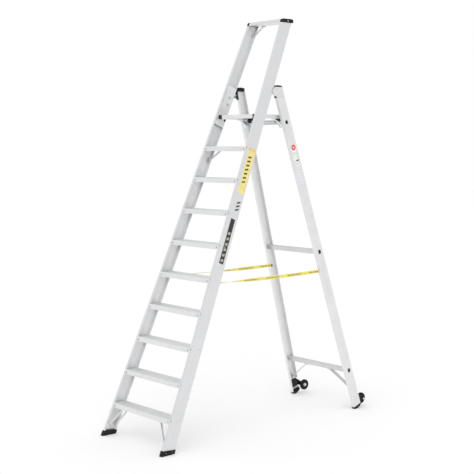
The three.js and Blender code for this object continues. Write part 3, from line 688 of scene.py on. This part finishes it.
def strap(side):
    """Flat strap that leaves the stile lying flat and turns upright toward the rear leg."""
    s = SIDES[side]
    low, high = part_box(f"strap_{side}")
    z, width, thick = (low.z + high.z) / 2, high.z - low.z, STRAP_THICKNESS
    near, far = sorted((abs(low.x), abs(high.x)))
    ends = [Vector((s * (far - thick / 2), low.y, z)), Vector((s * (near + thick / 2), high.y, z))]
    start, finish = TURN[side]
    path, loops = [], []
    bm = bmesh.new()
    flat = bm.loops.layers.uv.new("strap")
    for i in range(RINGS + 1):
        t = i / RINGS
        centre = ends[0].lerp(ends[1], t) - Vector((0, 0, SAG * math.sin(math.pi * t)))
        path.append(centre)
        turn = math.radians(90) * (1 - smooth((t - start) / (finish - start)))
        wide = Vector((s * math.sin(turn), 0, math.cos(turn)))
        deep = Vector((s * math.cos(turn), 0, -math.sin(turn)))
        stitched = 1.0 if STITCHED < t < 1 - STITCHED else DOUBLED
        ring = []
        for sign, order in ((1, range(ACROSS + 1)), (-1, range(ACROSS, -1, -1))):
            for k in order:
                u = k / ACROSS - 0.5
                rise = sign * (thick / 2) * stitched * (1 - (2 * u) ** 6 * 0.6)
                ring.append((bm.verts.new(centre + wide * width * u + deep * rise), u * width))
        loops.append(ring)
    n = len(loops[0])
    reach = (high.y - low.y) / RINGS
    for i, (a, b) in enumerate(zip(loops, loops[1:])):
        for k in range(n):
            m = (k + 1) % n
            face = bm.faces.new((a[k][0], a[m][0], b[m][0], b[k][0]))
            marks = ((i, a[k][1]), (i, a[m][1]), (i + 1, b[m][1]), (i + 1, b[k][1]))
            for loop, (ring_index, v) in zip(face.loops, marks):
                loop[flat].uv = (ring_index * reach, v)
            face.smooth = True
    bm.faces.new([v for v, _ in loops[0]][::-1])
    bm.faces.new([v for v, _ in loops[-1]])
    obj = piece(f"webbing_{side}", bm, webbing, None)
    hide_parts(f"strap_{side}")
    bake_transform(obj)

    # riveted plate on the stile's rear flange, with a boss that holds the strap's end
    up = (z / math.cos(FRONT_LEAN) + STILE_DEPTH * math.tan(FRONT_LEAN)) / MM
    place = facing(stile_side, side, -STILE_FLANGE / MM / 2, STILE_DEPTH / MM, up, "rear")
    bm = bmesh.new()
    slab(bm, place, rounded(19, 44, 5), 0.1, 1.7)
    slab(bm, place, rounded(24, 7, 2), 1.5, 8.6)
    piece(f"strap_eye_{side}", bm, zinc, "front_frame")
    spots = [place @ Matrix.Translation((0, dy, 0.0017)) for dy in (-0.015, 0.015)]
    heads(f"eye_rivets_{side}", spots, dome(4, 2), plate_metal, "front_frame")

    # anchor plate on the leg's flange tips, with a clamp over the strap's end
    up = (z / MM - 14 * SIN_R) / COS_R
    bm = bmesh.new()
    slab(bm, facing(leg_side, side, ANCHOR_FACE, 13, up, "in"), rounded(28, 42, 4), 0.1, 1.7)
    piece(f"strap_anchor_{side}", bm, zinc, "rear_frame")
    bm = bmesh.new()
    clamp = facing(leg_side, side, CLAMP_FACE, 20, up, "in")
    slab(bm, clamp, rounded(12, 29, 2), 0.1, 1.9)
    piece(f"strap_clamp_{side}", bm, black_plastic, "rear_frame")
    spots = [clamp @ Matrix.Translation((0, dy, 0.0018)) for dy in (-0.008, 0.008)]
    heads(f"clamp_rivets_{side}", spots, dome(3, 1.6), plate_metal, "rear_frame")


for side in SIDES:
    strap(side)


# ---------------------------------------------------------------- studio

FLOOR_SIZE = 80
FLOOR_DROP = 0.5 * MM
FLOOR_GLOW = 0.07
WORLD_LIGHT, WORLD_SEEN = 0.88, 1.0  # on the part, and where the camera looks past it

floor_paint = Graph("floor_paint", (0.93, 0.93, 0.93), 0.8)
floor_paint.shader.inputs["Emission Color"].default_value = (1, 1, 1, 1)
floor_paint.shader.inputs["Emission Strength"].default_value = FLOOR_GLOW
floor_paint.bumps((floor_paint.noise(floor_paint.place(), scale=40), 0.0005, 0.1))
bpy.ops.mesh.primitive_plane_add(size=FLOOR_SIZE, location=(0, 0, -FLOOR_DROP))
floor = bpy.context.object
floor.name = "floor"
floor.data.materials.append(floor_paint.material)


def sun(name, direction, strength, spread):
    """A sun that shines along the direction, its disc that many degrees wide."""
    data = bpy.data.lights.new(name, "SUN")
    data.energy = strength
    data.angle = math.radians(spread)
    lamp = bpy.data.objects.new(name, data)
    lamp.rotation_euler = Vector(direction).to_track_quat("-Z", "Y").to_euler()
    bpy.context.collection.objects.link(lamp)


sun("key", (-0.35, 0.8, -0.9), 0.5, 60)
sun("fill", (-0.74, 0.66, -0.12), 0.5, 50)

world = bpy.data.worlds.new("studio")
world.use_nodes = True
tree = world.node_tree
sky = tree.nodes["Background"]
sky.inputs["Color"].default_value = (1, 1, 1, 1)
sky.inputs["Strength"].default_value = WORLD_LIGHT
seen = tree.nodes.new("ShaderNodeBackground")
seen.inputs["Strength"].default_value = WORLD_SEEN
seen.inputs["Color"].default_value = (1, 1, 1, 1)
path_kind = tree.nodes.new("ShaderNodeLightPath")
mixer = tree.nodes.new("ShaderNodeMixShader")
tree.links.new(path_kind.outputs["Is Camera Ray"], mixer.inputs[0])
tree.links.new(sky.outputs[0], mixer.inputs[1])
tree.links.new(seen.outputs[0], mixer.inputs[2])
tree.links.new(mixer.outputs[0], tree.nodes["World Output"].inputs["Surface"])
bpy.context.scene.world = world
bpy.context.scene.view_settings.view_transform = "Standard"
